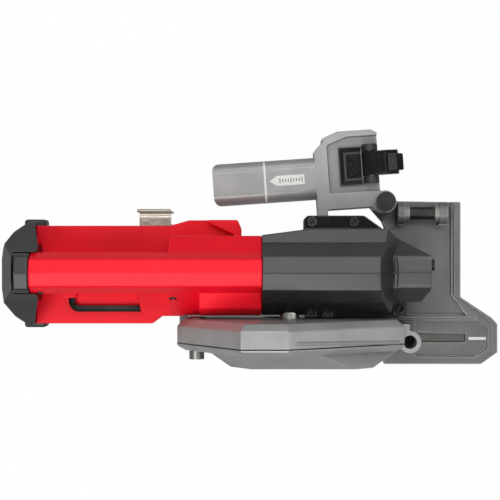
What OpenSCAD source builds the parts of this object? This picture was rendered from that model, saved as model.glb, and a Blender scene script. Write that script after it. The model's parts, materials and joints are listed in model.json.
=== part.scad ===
// Hand-held cordless plunge saw for pipe.
// X runs from the rear handle (-) to the nose (+), Y across the tool, Z up from the sole.
// The origin lies on the sole, straight under the plunge pivot.

/* [Base] */
// Thickness of the base plate
base_t = 10; // [8:0.5:12]
// Depth of the milled pockets in the base plate
pocket_d = 4; // [2:0.5:5]
// Right edge of the base plate
base_front = 52.7; // [46:0.1:60]
// Front tip of the flared corner
flare_front = 84; // [76:0.5:92]
// Lower edge of the base plate, on the blade side
base_low = -70.5; // [-74:0.5:-68]
// Upper edge of the base plate, on the arm side
base_high = 67.3; // [66:0.1:72]
// Height of the rim along the front edge
rim_h = 3; // [1:0.5:5]
// Width of the blade slot and of the sight slot
slot_w = 7.2; // [5:0.2:9]
// Radius of the strike bar
bar_r = 5.5; // [4:0.25:6]
// Height of the strike bar above the sole
bar_z = 22; // [20:0.5:26]

/* [Plunge hinge] */
// Height of the plunge pivot above the sole
pivot_z = 22; // [20:0.5:24]
// Radius of the plunge pin
pin_r = 4; // [3:0.25:5]
// Width of each pivot block along the pin
block_w = 12.6; // [10:0.2:14]
// Running clearance between a shaft and its bore
run_gap = 0.05; // [0.02:0.01:0.1]
// Clearance between neighbours that move past each other
move_gap = 0.4; // [0.3:0.05:0.6]

/* [Blade and guard] */
// Blade radius
blade_r = 66; // [60:0.5:67]
// Blade thickness
blade_t = 1.8; // [1.2:0.1:2.4]
// Blade plane, measured across the tool
blade_y = -48.6; // [-49.4:0.1:-48.4]
// Number of blade teeth
blade_teeth = 30; // [20:1:40]
// Wall of the guard
guard_wall = 3; // [2:0.25:3.5]
// Inner face of the guard, next to the gear case
guard_in = -28.4; // [-29:0.1:-28]
// Seam between guard housing and guard cover
guard_seam = -47.2; // [-47.6:0.1:-46.8]
// Outer face of the guard cover bulge
guard_out = -65.5; // [-68:0.1:-63]
// Highest edge of the guard
guard_top = 165; // [160:1:172]

/* [Drive] */
// Spindle centre along the tool, behind the pivot
spindle_x = -94.5; // [-96:0.5:-93]
// Height of the spindle and of the motor shaft
shaft_z = 76; // [75:0.5:77]
// Motor shaft, measured across the tool
motor_y = 8.5; // [8:0.1:9]
// Gear module
gear_m = 1.75; // [1.6:0.05:1.8]
// Teeth on the crown gear
crown_teeth = 27; // [24:3:27]
// Teeth on the pinion
pinion_teeth = 9; // [8:1:9]
// Spindle radius
spindle_r = 8; // [7:0.25:9]
// Motor shaft radius
shaft_r = 4; // [3:0.25:4.5]
// Stator radius
stator_r = 25; // [22:0.5:26]

/* [Housing] */
// Wall of the moulded shells
shell_wall = 3; // [2.5:0.25:3.5]
// Top of the grip and of the gear case
body_top = 117; // [112:0.5:122]
// Fall of the ridge from its middle to its edges
roof_drop = 2.2; // [0:0.1:4]
// Length of the rear bumper
bumper_len = 26; // [24:0.5:30]
// Underside of the grip
grip_low = 84; // [80:0.5:88]
// Top of the shelf over the battery
shelf_top = 48; // [46:0.5:50]
// Height of the battery
battery_h = 38; // [34:0.5:39]
// Trigger travel
trigger_travel = 5; // [3:0.5:6]

/* [Arm] */
// Length of the arm tube past the bracket
tube_len = 77; // [60:1:90]
// Width of the arm tube
tube_w = 35; // [30:0.5:38]
// Height of the arm tube
tube_h = 30; // [26:0.5:32]
// Rest angle of the arm
arm_angle = 3.9; // [0:0.1:5]
// Radius of the arm pivot bolt
arm_bolt_r = 4; // [3:0.25:5]

/* [Hidden] */
$fn = 48;
plunge_angle = 14;
rear_floor = base_t - pocket_d;
sight_floor = 2;
arm_x = -13.5;
arm_y = 66.7;
bar_y = 57.6;
lug_a = [-2, 4];
lug_b = [33, 40];
block_ys = [-28.7, 16.1];
knuckle_in = 16.1 - move_gap;
spring_x = -45;
spring_r = 8;
spring_wire = 2;
spring_turns = 5;
bolt_rear = [-168.5, 82];
peg_r = 6;
boss_x = 4.5;
boss_r = 9;
rim_in = -33.8;
cover_rim = -49.5;
cover_plate = -53.5;
grey = "#8a8a8a";
black = "#242424";
red = "#e0202c";
steel = "#b8b8b4";

// Shape helpers
module xprism(x0, x1, pts) {
    translate([x0, 0, 0]) rotate([90, 0, 90]) linear_extrude(x1 - x0) polygon(pts);
}
module yprism(y0, y1, pts) {
    translate([0, y1, 0]) rotate([90, 0, 0]) linear_extrude(y1 - y0) polygon(pts);
}
module zprism(z0, z1, pts) {
    translate([0, 0, z0]) linear_extrude(z1 - z0) polygon(pts);
}
module xcyl(y, z, x0, x1, r) {
    translate([x0, y, z]) rotate([0, 90, 0]) cylinder(r = r, h = x1 - x0);
}
module ycyl(x, z, y0, y1, r) {
    translate([x, y1, z]) rotate([90, 0, 0]) cylinder(r = r, h = y1 - y0);
}
module zcyl(x, y, z0, z1, r) {
    translate([x, y, z0]) cylinder(r = r, h = z1 - z0);
}
module block(lo, hi) {
    translate(lo) cube(hi - lo);
}
// Socket-head screw standing along Z, head seated at z
module cap_screw(x, y, z, r, len) {
    difference() {
        union() {
            zcyl(x, y, z - len, z + 0.01, r);
            zcyl(x, y, z, z + 2 * r, 1.75 * r);
        }
        translate([x, y, z + r]) cylinder(r = r * 0.95, h = 2 * r, $fn = 6);
    }
}
function unit(v) = v / norm(v);
// Moves every side of a counter-clockwise outline inwards by d
function inset(p, d) = [
    for (i = [0 : len(p) - 1])
        let (a = p[(i + len(p) - 1) % len(p)], b = p[i], c = p[(i + 1) % len(p)],
             u = unit(b - a), v = unit(c - b), m = [-u[1], u[0]], n = [-v[1], v[0]])
        b + d * (m + n) / (1 + m * n)
];
// Point of the saw unit in the XZ plane once it is plunged
function plunged(x, z) = [
    x * cos(plunge_angle) - (z - pivot_z) * sin(plunge_angle),
    x * sin(plunge_angle) + (z - pivot_z) * cos(plunge_angle) + pivot_z
];
guard_profile = [[-184, base_t], [-4, base_t], [-4, 97], [-97, guard_top], [-133, guard_top], [-184, 85]];
bulge_foot = [[-158, base_t], [-8, base_t], [-8, 82], [-72, 136], [-132, 136], [-158, 100]];
bulge_face = [[-141, base_t], [-30, base_t], [-30, 106], [-44, 120], [-126, 120], [-141, 98]];
base_outline = [
    [-12, base_low], [70.6, base_low], [flare_front, -61], [flare_front, -36.5], [flare_front - 5, -31],
    [base_front, -13.5], [base_front, base_high], [arm_x + 6, base_high + 1], [arm_x - 14, base_high - 1],
    [arm_x, 50.3], [-10.3, 41.8], [-10.3, 30], [-80, 30], [-80, guard_in], [-186, guard_in],
    [-186, -50], [-174, -55.5], [-158, -58], [-141, -66], [-12, -66]
];
blade_slot = [-172, -26];
sight_slot = [16, 57.8];

// Cast base plate with slots, strike bar lugs and the ear for the arm
module base_plate() {
    color(grey) difference() {
        union() {
            difference() {
                base_form();
                front_pocket();
                sight_pocket();
            }
            for (lug = [lug_a, lug_b]) base_lug(lug);
        }
        slot(blade_slot, -1);
        slot(sight_slot, sight_floor);
        for (lug = [lug_a, lug_b]) xcyl(bar_y, bar_z, lug[0] - 1, lug[1] + 1, bar_r);
        zcyl(arm_x, arm_y, -1, base_t + 1, arm_bolt_r);
        zcyl(boss_x, blade_y, -1, base_t + 1, 3);
        zcyl(spring_x, motor_y, base_t - 2, base_t + 1, spring_r + spring_wire);
    }
}
// Plate, arm ear, front rim and ledge before the pockets are cut
module base_form() {
    zprism(0, base_t, base_outline);
    zcyl(arm_x, arm_y, 0, base_t, 9);
    zprism(base_t - 0.01, base_t + rim_h, [
        [base_front - 6, 44], [base_front - 6, -12], [72, -29], [78, -36], [78, -58],
        [flare_front, -61], [flare_front, -36.5], [flare_front - 5, -31], [base_front, -13.5],
        [base_front, base_high], [base_front - 6, base_high]
    ]);
    block([-8, -33.6, base_t - 0.01], [66, -30, base_t + 1.5]);
}
module base_lug(x) {
    block([x[0], 47.5, rear_floor - 0.01], [x[1], 66, bar_z]);
    xcyl(bar_y, bar_z, x[0], x[1], 9.2);
}
module front_pocket() {
    zprism(rear_floor, base_t + 2, [
        [-9, -29.2], [59, -29.2], [base_front - 8, -12], [base_front - 8, base_high + 3], [0, base_high + 3],
        [0, 50], [-9, 44]
    ]);
}
module sight_pocket() {
    zprism(rear_floor, base_t + 2, [
        [14.5, -64], [64, -64.5], [76, -58], [76, -40], [66, -33.6], [14.5, -33.6]
    ]);
}
module slot(x, floor) {
    block([x[0], blade_y - slot_w / 2, floor], [x[1], blade_y + slot_w / 2, base_t + 1]);
}
// Guard half that stands on the base and carries the cover
module guard_housing() {
    arc = plunged(spindle_x, shaft_z);
    dir = unit(arc - [spindle_x, shaft_z]);
    side = [-dir[1], dir[0]] * (spindle_r + 2.4);
    color(grey) difference() {
        union() {
            yprism(guard_seam, rim_in, guard_profile);
            hull() {
                yprism(rim_in - 0.01, rim_in, guard_profile);
                yprism(guard_in - 0.01, guard_in, inset(guard_profile, 6));
            }
            zcyl(boss_x, blade_y, base_t, 60, boss_r);
            block([-6, guard_seam, base_t], [boss_x, rim_in, 60]);
        }
        yprism(guard_seam - 1, guard_in - guard_wall, inset(guard_profile, guard_wall));
        block([-181, guard_seam - 1, 0], [-7, guard_in - guard_wall, 20]);
        ycyl(spindle_x, shaft_z, guard_in - 9, guard_in + 1, spindle_r + 3);
        ycyl(arc[0], arc[1], guard_in - 9, guard_in + 1, spindle_r + 3);
        yprism(guard_in - 9, guard_in + 1, [
            [spindle_x, shaft_z] - side, [spindle_x, shaft_z] + side, arc + side, arc - side
        ]);
        ycyl(bolt_rear[0], bolt_rear[1], guard_seam - 1, guard_in + 1, 3);
        zcyl(boss_x, blade_y, base_t - 1, 61, 3);
        zcyl(boss_x, blade_y, 24, 61, 5.5);
    }
}
// Guard half on the outer side, with the bulge over the blade bolt
module guard_cover() {
    color(grey) difference() {
        union() {
            yprism(cover_rim, guard_seam, guard_profile);
            hull() {
                yprism(cover_rim - 0.01, cover_rim, guard_profile);
                yprism(cover_plate, cover_plate + 0.01, inset(guard_profile, 7));
            }
            hull() {
                yprism(cover_plate - 0.01, cover_plate, bulge_foot);
                yprism(guard_out, guard_out + 0.01, bulge_face);
            }
        }
        hull() {
            yprism(cover_plate + 2, cover_plate + 2.01, inset(bulge_foot, guard_wall));
            yprism(guard_out + guard_wall, guard_out + guard_wall + 0.01, inset(bulge_face, guard_wall));
        }
        yprism(blade_out - 0.6, guard_seam + 1, inset(guard_profile, guard_wall));
        yprism(cover_plate + 2, guard_seam, inset(bulge_foot, guard_wall));
        block([-155, guard_out + 8, 0], [-12, guard_seam + 1, base_t + 4]);
        block([blade_slot[0] + 8, blade_out - 0.6, 0], [-12, guard_seam + 1, base_t + 4]);
        zcyl(boss_x, blade_y, base_t - 1, 61, boss_r + 0.3);
        ycyl(bolt_rear[0], bolt_rear[1], cover_plate - 1, guard_seam + 1, 3);
    }
}
// Through bolt that clamps the cover, with a dome head inside and a peg nut outside
module guard_bolt() {
    color(steel) {
        ycyl(bolt_rear[0], bolt_rear[1], cover_plate, guard_in, 3);
        translate([bolt_rear[0], guard_in, bolt_rear[1]]) rotate([-90, 0, 0])
            rotate_extrude() polygon([[0, 0], [7, 0], [7, 0.6], [5, 1.6], [0, 2]]);
        ycyl(bolt_rear[0], bolt_rear[1], cover_plate - 7, cover_plate, peg_r);
    }
}
// Screw in the front boss that holds the guard on the base
module guard_screw() {
    color(steel) cap_screw(boss_x, blade_y, 24, 3, 23);
}
module strike_bar() {
    color("#3c3c3c") xcyl(bar_y, bar_z, lug_a[0] - 1, lug_b[1] + 1, bar_r);
}
module bar_collars() {
    color(steel) for (x = [lug_a[1], lug_b[0] - 4]) difference() {
        xcyl(bar_y, bar_z, x, x + 4, bar_r + 2);
        xcyl(bar_y, bar_z, x - 1, x + 5, bar_r);
    }
}
module pivot_blocks() {
    color(black) for (y = block_ys) difference() {
        block([-7, y, rear_floor], [5.3, y + block_w, pivot_z + 9]);
        ycyl(0, pivot_z, y - 1, y + block_w + 1, pin_r);
        zcyl(-0.6, y + block_w / 2, pivot_z, pivot_z + 10, 2);
    }
}
// Socket screws that lock the pin in its blocks
module block_screws() {
    color("#303030") for (y = block_ys)
        cap_screw(-0.6, y + block_w / 2, pivot_z + 9, 2, 9 - sqrt(pow(pin_r, 2) - 0.36));
}
module plunge_pin() {
    color(steel) ycyl(0, pivot_z, block_ys[0] - 0.5, block_ys[1] + block_w + 0.5, pin_r);
}
// Sweeps a round wire along a list of points
module wire(path, r, sides = 6) {
    n = len(path);
    points = [for (i = [0 : n - 1]) let (
        a = path[max(i - 1, 0)], b = path[min(i + 1, n - 1)], t = unit(b - a),
        s = unit(cross(t, abs(t[2]) > 0.9 ? [1, 0, 0] : [0, 0, 1])), q = cross(s, t))
        for (k = [0 : sides - 1]) path[i] + r * (cos(360 * k / sides) * s + sin(360 * k / sides) * q)];
    faces = concat(
        [[for (k = [0 : sides - 1]) k]],
        [[for (k = [sides - 1 : -1 : 0]) (n - 1) * sides + k]],
        [for (i = [0 : n - 2]) for (k = [0 : sides - 1]) for (f = [0, 1])
            let (a = i * sides + k, b = i * sides + (k + 1) % sides)
            f == 0 ? [a, a + sides, b] : [b, a + sides, b + sides]]
    );
    polyhedron(points, faces, convexity = 10);
}
spring_low = base_t - 2 + spring_wire / 2 + 0.3;
spring_high = 38 - move_gap - spring_wire / 2;
// Compression spring that lifts the saw unit off the base
module plunge_spring() {
    steps = spring_turns * 8;
    path = [for (i = [0 : steps]) let (a = 45 * i, h = spring_low + (spring_high - spring_low) * i / steps)
        [spring_x + spring_r * cos(a), motor_y + spring_r * sin(a), h]];
    color(steel) wire(path, spring_wire / 2);
}
// Bolt on which the arm turns
module arm_bolt() {
    color("#2c2c2c") cap_screw(arm_x, arm_y, 36, arm_bolt_r, 35);
}

// Sizes of the drive train
crown_r = gear_m * crown_teeth / 2;
pinion_r = gear_m * pinion_teeth / 2;
pinion_x = spindle_x - crown_r;
pitch_y = motor_y - pinion_r;
tooth_up = 0.7 * gear_m;
tooth_down = 0.95 * gear_m;
tooth_w = 0.9 * gear_m;
gear_face = 7;
bearing_r = 13;
bearing_w = 8;
case_rear = -121;
shell_front = -116.5;
neck_rear = -134;
case_low = 38;
roof_edge = body_top - roof_drop;
nose_top = 78;
lock_y = 14.3;
lock_z = 66;
lock_r = 3;
collar_r = 14;
flange_r = 17;
blade_in = blade_y + blade_t / 2;
blade_out = blade_y - blade_t / 2;
bolt_r = 4;
rotor_r = 14;
rotor_x = [-170, -140];
fan_x = [-138.5, -135.5];
rear_bearing_x = [-182, -175];
flange_screws = [[-76.6, 49], [-43.1, 49], [-76.6, -23.5], [-63.8, -23.5]];

// Bored ring along Y
module ring_y(x, z, y0, y1, ro, ri) {
    difference() {
        ycyl(x, z, y0, y1, ro);
        ycyl(x, z, y0 - 1, y1 + 1, ri);
    }
}
// Bored ring along X
module ring_x(y, z, x0, x1, ro, ri) {
    difference() {
        xcyl(y, z, x0, x1, ro);
        xcyl(y, z, x0 - 1, x1 + 1, ri);
    }
}
case_section = [
    [-22, case_low], [36, case_low], [43.5, 50], [43.5, 92], [32, 98], [21.5, roof_edge], [motor_y, body_top],
    [-5, roof_edge], [-15, 103], [-25.5, 80], [-25.5, 46]
];
nose_section = [
    [-15.5, case_low], [44, case_low], [44, nose_top - 34], [21.7, nose_top - roof_drop],
    [motor_y, nose_top], [-4, nose_top - roof_drop], [-15.5, nose_top - 12]
];
case_plan = [
    [case_rear, -25.5], [-14, -25.5], [-11, -15.5], [13, -15.5], [20, -5], [20, 21.6], [-19, 44], [-77, 43.5],
    [case_rear, 37.8]
];
case_profile = [
    [case_rear, case_low], [-8, case_low], [-8, nose_top - 10], [-11.4, nose_top], [-24.7, body_top],
    [case_rear, body_top]
];
// Outer form of the gear case before it is split and hollowed
module case_form() {
    intersection() {
        union() {
            intersection() {
                xprism(shell_front, -8, case_section);
                yprism(-40, 60, case_profile);
            }
            xprism(-40, 20, nose_section);
        }
        zprism(case_low, body_top, case_plan);
    }
    xprism(case_rear, shell_front + 0.01, inset(motor_section, shell_wall + 0.1));
    xcyl(motor_y, shaft_z, neck_rear, case_rear + 5, 19);
}
// Space for gears, bearings, shafts and the lock pin
module case_space() {
    ycyl(spindle_x, shaft_z, -10, 19, crown_r + 5);
    ycyl(spindle_x, shaft_z, 18, 31, collar_r + 2);
    ycyl(spindle_x, shaft_z, -20, -9, bearing_r);
    ycyl(spindle_x, shaft_z, -30, -19, spindle_r + 1);
    ycyl(spindle_x, shaft_z, 30, 30 + bearing_w + 1, bearing_r);
    xcyl(motor_y, shaft_z, neck_rear - 1, neck_rear + bearing_w, bearing_r);
    xcyl(motor_y, shaft_z, neck_rear, spindle_x, pinion_r + 3);
    xcyl(lock_y, lock_z, spindle_x, 30, lock_r + run_gap);
    xcyl(lock_y, lock_z, 14, 30, lock_r + 2);
}
module case_flange(z0, z1) {
    zprism(z0, z1, [[-83, 40], [-21, 40], [-21, 44], [-35, 54], [-80, 54], [-83, 51]]);
}
module case_holes(z0, z1, r) {
    for (s = flange_screws) zcyl(s[0], s[1], z0, z1, r);
}
// Upper casting of the gear case
module gear_case_upper() {
    color(black) difference() {
        union() {
            intersection() {
                case_form();
                block([-140, -40, shaft_z], [30, 60, 130]);
            }
            case_flange(shaft_z, shaft_z + 8);
            for (i = [2, 3]) case_ear(flange_screws[i], shaft_z, shaft_z + 5);
        }
        case_space();
        case_holes(shaft_z - 1, shaft_z + 9, 2);
        for (i = [2, 3]) zcyl(flange_screws[i][0], flange_screws[i][1], shaft_z + 5, shaft_z + 20, 4);
    }
}
module case_ear(at, z0, z1) {
    block([at[0] - 4, -27.2, z0], [at[0] + 4, -20, z1]);
}
// Lower casting of the gear case, with the plunge knuckle
module gear_case_lower() {
    color(black) difference() {
        union() {
            intersection() {
                case_form();
                block([-140, -40, 0], [30, 60, shaft_z]);
            }
            case_flange(shaft_z - 10, shaft_z);
            for (i = [2, 3]) case_ear(flange_screws[i], shaft_z - 10, shaft_z);
            block([-9.5, -knuckle_in, pivot_z], [9.5, knuckle_in, case_low + 1]);
            ycyl(0, pivot_z, -knuckle_in, knuckle_in, 9.5);
        }
        case_space();
        case_holes(shaft_z - 12, shaft_z + 1, 2);
        ycyl(0, pivot_z, -knuckle_in - 1, knuckle_in + 1, pin_r + run_gap);
    }
}
// Screws that clamp the two castings at their flanges
module case_screws() {
    color("#333333") for (i = [0 : 3]) {
        s = flange_screws[i];
        cap_screw(s[0], s[1], shaft_z + (i < 2 ? 8 : 5), 2, i < 2 ? 17 : 14);
    }
}
module spindle_bearings() {
    color(steel) {
        ring_y(spindle_x, shaft_z, -20, -20 + bearing_w, bearing_r, spindle_r + run_gap);
        ring_y(spindle_x, shaft_z, 31, 31 + bearing_w, bearing_r, spindle_r + run_gap);
    }
}
module motor_bearings() {
    color(steel) {
        ring_x(motor_y, shaft_z, neck_rear, neck_rear + bearing_w, bearing_r, shaft_r + run_gap);
        ring_x(motor_y, shaft_z, rear_bearing_x[0], rear_bearing_x[1], 11, shaft_r + run_gap);
    }
}
// Spindle with its lock collar
module spindle() {
    color("#9a9a96") difference() {
        union() {
            ycyl(spindle_x, shaft_z, blade_out, 31 + bearing_w - 1, spindle_r);
            ycyl(spindle_x, shaft_z, lock_y - 3.5, lock_y + 3.5, collar_r);
        }
        ycyl(spindle_x, shaft_z, blade_out - 1, blade_out + 20, bolt_r);
        for (a = [0 : 90 : 270]) translate([spindle_x, 0, shaft_z]) rotate([0, a, 0])
            translate([-spindle_x, 0, -shaft_z])
                xcyl(lock_y, lock_z, spindle_x + 5, spindle_x + 20, lock_r + 0.4);
    }
}
// Crown gear with its teeth facing the motor shaft
module crown_gear() {
    color("#8f8f8b") difference() {
        union() {
            ycyl(spindle_x, shaft_z, pitch_y - tooth_down - 6, pitch_y - tooth_down, crown_r + 4);
            for (i = [0 : crown_teeth - 1]) translate([spindle_x, 0, shaft_z])
                rotate([0, (i + 0.5) * 360 / crown_teeth, 0])
                    block([-crown_r - 3.8, pitch_y - tooth_down - 0.5, -tooth_w / 2],
                          [-crown_r + 4, pitch_y + tooth_up, tooth_w / 2]);
        }
        ycyl(spindle_x, shaft_z, -20, 20, spindle_r);
    }
}
module pinion() {
    color("#a0a09c") difference() {
        union() {
            xcyl(motor_y, shaft_z, pinion_x - gear_face / 2, pinion_x + gear_face / 2, pinion_r - tooth_down);
            for (i = [0 : pinion_teeth - 1]) translate([pinion_x, motor_y, shaft_z])
                rotate([i * 360 / pinion_teeth, 0, 0])
                    block([-gear_face / 2, -pinion_r - tooth_up, -tooth_w / 2],
                          [gear_face / 2, -shaft_r - 1, tooth_w / 2]);
        }
        xcyl(motor_y, shaft_z, pinion_x - 20, pinion_x + 20, shaft_r);
    }
}
module inner_flange() {
    color("#77777a") ring_y(spindle_x, shaft_z, blade_in, blade_in + 5, flange_r, spindle_r);
}
module outer_flange() {
    color("#77777a") ring_y(spindle_x, shaft_z, blade_out - 3.5, blade_out, flange_r, bolt_r);
}
module blade_bolt() {
    color("#3a3a3a") {
        ycyl(spindle_x, shaft_z, blade_out - 3.6, blade_out + 18, bolt_r);
        translate([spindle_x, blade_out - 3.5, shaft_z]) rotate([90, 0, 0])
            cylinder(r = 7.5, h = 4.5, $fn = 6);
    }
}
// Toothed blade
module blade() {
    step = 360 / blade_teeth;
    teeth = [for (i = [0 : blade_teeth - 1]) for (k = [[0, 0], [0.15, -5], [0.55, -3]])
        (blade_r + k[1]) * [cos((i + k[0]) * step), sin((i + k[0]) * step)] + [spindle_x, shaft_z]];
    color("#c4c4c0") difference() {
        yprism(blade_out, blade_in, teeth);
        ycyl(spindle_x, shaft_z, blade_out - 1, blade_in + 1, spindle_r);
    }
}
module motor_shaft() {
    color(steel) xcyl(motor_y, shaft_z, rear_bearing_x[0], pinion_x + gear_face / 2, shaft_r);
}
module rotor_core() {
    color("#6b6b6b") ring_x(motor_y, shaft_z, rotor_x[0], rotor_x[1], rotor_r, shaft_r);
}
module cooling_fan() {
    color("#303030") difference() {
        union() {
            xcyl(motor_y, shaft_z, fan_x[0], fan_x[1], 8);
            xcyl(motor_y, shaft_z, fan_x[0], fan_x[0] + 1, 21);
            for (i = [0 : 8]) translate([fan_x[0], motor_y, shaft_z]) rotate([40 * i, 0, 0])
                block([0, 7, -0.75], [fan_x[1] - fan_x[0], 21, 0.75]);
        }
        xcyl(motor_y, shaft_z, fan_x[0] - 1, fan_x[1] + 1, shaft_r);
    }
}
module stator_core() {
    color("#555555") ring_x(motor_y, shaft_z, rotor_x[0], rotor_x[1], stator_r, rotor_r + 3.5);
}
module stator_windings() {
    color("#b4682c") difference() {
        xcyl(motor_y, shaft_z, rotor_x[0], rotor_x[1] - 1, rotor_r + 3.5);
        xcyl(motor_y, shaft_z, rotor_x[0] - 1, rotor_x[1] + 1, rotor_r + 0.6);
        for (i = [0 : 5]) translate([rotor_x[0] + 4, motor_y, shaft_z]) rotate([60 * i, 0, 0])
            block([0, rotor_r - 1, -1.5], [22, rotor_r + 5, 1.5]);
    }
}
// Push pin that locks the spindle for a blade change
module spindle_lock() {
    color("#2a2a2a") {
        xcyl(lock_y, lock_z, spindle_x + 12.5, 19, lock_r);
        xcyl(lock_y, lock_z, 18.5, 23.5, lock_r + 1.7);
    }
}

// Sizes of the housing, the grip and the battery
shelf_low = battery_h + move_gap;
housing_rear = -298;
bumper_rear = housing_rear - bumper_len;
flank_rear = housing_rear - 4;
wing_front = -293;
tongue_rear = -310;
ridge_y = [-14, 31];
shelf_side = 46.5;
board_x = [-284, -236];
switch_x = [-228, -196];
terminal_x = [-214, -206];
terminal_y = [0, 17];
hook_drop_in = 18;
hook_drop_out = 8;
hook_out = 59;
hook_mid = -204;
first_cell = -292;
cell_step = 21.6;
cell_y = [-24.5, 36.5];
post_front = -286;
grip_front = -187;
trigger_x = [-223.6, -198.4];
trigger_y = [2.4, 14.6];
key_y = -21.6;
key_r = 2.9;
key_z = shelf_top + key_r + 0.3;
key_x = [-272, -203];
key_bend = 6;
rail_x = [-300, -215];
rail_neck = [-6, 23];
rail_head = [-12, 29];
rail_step = battery_h + 3.4;
rail_top = battery_h + 7;
battery_x = [-318, -215];
battery_y = [-32, 45];
battery_wall = 2.5;
cell_r = 10.5;
latch_x = [-314, -296];
latch_z = [14, 34];
hook_x = [-217, -191];
hook_z = 42;
hook_t = 1.6;
hook_bend = 6;
motor_section = [
    [-20, 40], [32, 40], [37.8, 52], [37.8, 88], [24.5, 104], [19, roof_edge], [motor_y, body_top],
    [-2, roof_edge], [-7.5, 104], [-20, 84], [-26, 72], [-26, 52]
];
grip_section = [
    [-1, grip_low], [18, grip_low], [24.5, grip_low + 9], [24.5, 104], [19, roof_edge], [motor_y, body_top],
    [-2, roof_edge], [-7.5, 104], [-7.5, grip_low + 9]
];
shelf_plan = [
    [flank_rear, -34], [-206, -34], [-194, -25], [-133, -25], [-133, 44], [-136, 51], [-176, 51],
    [-192, shelf_side], [flank_rear, shelf_side], [flank_rear, ridge_y[1]], [housing_rear, ridge_y[1]],
    [housing_rear, ridge_y[0]], [flank_rear, ridge_y[0]]
];
holder_plan = [[-219, -8.5], [-214, -27.5], [-181, -27.5], [-176, -8.5]];
bumper_plan = [
    [bumper_rear, -3], [bumper_rear + 3, -15], [bumper_rear + 9, -27], [bumper_rear + 18, -35],
    [flank_rear, -35.5], [flank_rear, ridge_y[0]], [housing_rear, ridge_y[0]], [housing_rear, ridge_y[1]],
    [flank_rear, ridge_y[1]], [flank_rear, 50], [bumper_rear + 16, 48], [bumper_rear + 8, 41],
    [bumper_rear + 2, 28], [bumper_rear, 20]
];
bumper_profile = [
    [bumper_rear, rail_top + 1], [wing_front, rail_top + 1], [wing_front, body_top],
    [tongue_rear - 1, body_top], [bumper_rear, 84]
];
// Side view of the wings that lean forward over the shelf, beside the grip
wing_profile = [
    [flank_rear - 4, shelf_top + move_gap], [flank_rear, shelf_top + move_gap], [flank_rear, 58],
    [wing_front, 96], [wing_front, body_top], [flank_rear - 4, body_top]
];
bumper_section = [
    [-35.5, 40], [50, 40], [50, 58], [30, 96], [21.5, roof_edge], [motor_y, body_top], [-4.5, roof_edge],
    [-13, 96], [-35.5, 58]
];
// Outer form of both shells together
module housing_form() {
    xprism(-190, shell_front, motor_section);
    xprism(housing_rear, grip_front, grip_section);
    xprism(housing_rear, post_front, [
        [-7.5, shelf_low], [24.5, shelf_low], [24.5, 104], [19, roof_edge], [motor_y, body_top],
        [-2, roof_edge], [-7.5, 104]
    ]);
    zprism(shelf_low, shelf_top, shelf_plan);
    zprism(shelf_low, shelf_top + 12, [
        [-160, 49], [-139, 39], [-139, 30], [-133.5, 30], [-133.5, 44], [-136, 51], [-160, 51]
    ]);
    zprism(shelf_low, shelf_top + 9, holder_plan);
}
// Hollow of the shells, with ribs left for the motor and its rear bearing
module housing_space() {
    difference() {
        xprism(-184, shell_front + 1, inset(motor_section, shell_wall));
        for (x = [[-166, -162], [-150, -146]]) difference() {
            xprism(x[0], x[1], motor_section);
            xcyl(motor_y, shaft_z, x[0] - 1, x[1] + 1, stator_r);
        }
        difference() {
            xprism(-130, -125, motor_section);
            xcyl(motor_y, shaft_z, -131, -124, 19);
        }
    }
    xcyl(motor_y, shaft_z, rear_bearing_x[0], -180, 11);
    xprism(-295, -194, inset(grip_section, shell_wall));
    xcyl(key_y, key_z, -230, key_x[1] + 0.5, key_r + 0.3);
    block([trigger_x[0] - 0.4, trigger_y[0] - 0.4, grip_low - 1],
          [trigger_x[1] + 0.4, trigger_y[1] + 0.4, grip_low + 5]);
    block([housing_rear - 1, rail_neck[0] - move_gap, shelf_low - 1],
          [rail_x[1] + move_gap, rail_neck[1] + move_gap, rail_step]);
    block([housing_rear - 1, rail_head[0] - move_gap, rail_step - move_gap],
          [rail_x[1] + move_gap, rail_head[1] + move_gap, rail_top + move_gap]);
    block([terminal_x[0] - 2, terminal_y[0], rail_step - move_gap],
          [terminal_x[1], terminal_y[1], rail_top + move_gap]);
    for (s = housing_screw_at) ycyl(s[0], s[1], -50, 60, 1.5);
    for (s = housing_screw_at) ycyl(s[0], s[1], -50, s[2], 3.2);
    ycyl(hook_mid, hook_z, shelf_side - 6.5, shelf_side + 10, 2);
}
// Screws along Y: place in X and Z, and where the head seats
housing_screw_at = [[-186.7, 96, -10], [-180, 45, -20], [-290, 104, -5], [-290, 60, -5], [-128, 47, -22]];
module shell_half(y0, y1) {
    color(red) difference() {
        intersection() {
            housing_form();
            block([bumper_rear, y0, 0], [shell_front + 1, y1, body_top + 5]);
        }
        housing_space();
    }
}
module housing_left() {
    shell_half(-60, motor_y);
}
module housing_right() {
    shell_half(motor_y, 80);
}
module housing_screws() {
    color("#444444") for (s = housing_screw_at) {
        ycyl(s[0], s[1], s[2] - 0.01, motor_y + 10, 1.5);
        ycyl(s[0], s[1], s[2] - 2.5, s[2], 3.2);
    }
}
module rear_bumper() {
    grip_lo = grip_section[8][0];
    grip_hi = grip_section[2][0];
    color(black) difference() {
        intersection() {
            union() {
                zprism(rail_top + 1, body_top, bumper_plan);
                yprism(bumper_section[0][0], grip_lo - move_gap, wing_profile);
                yprism(grip_hi + move_gap, bumper_section[1][0], wing_profile);
            }
            yprism(-60, 80, bumper_profile);
            xprism(bumper_rear - 5, wing_front, bumper_section);
        }
        for (y = [grip_lo, grip_hi])
            block([tongue_rear - 1, y - 0.5, 100], [housing_rear, y + 0.5, body_top]);
        block([tongue_rear - 1, grip_lo - 0.5, body_top - 6], [tongue_rear, grip_hi + 0.5, body_top + 1]);
    }
}
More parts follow.
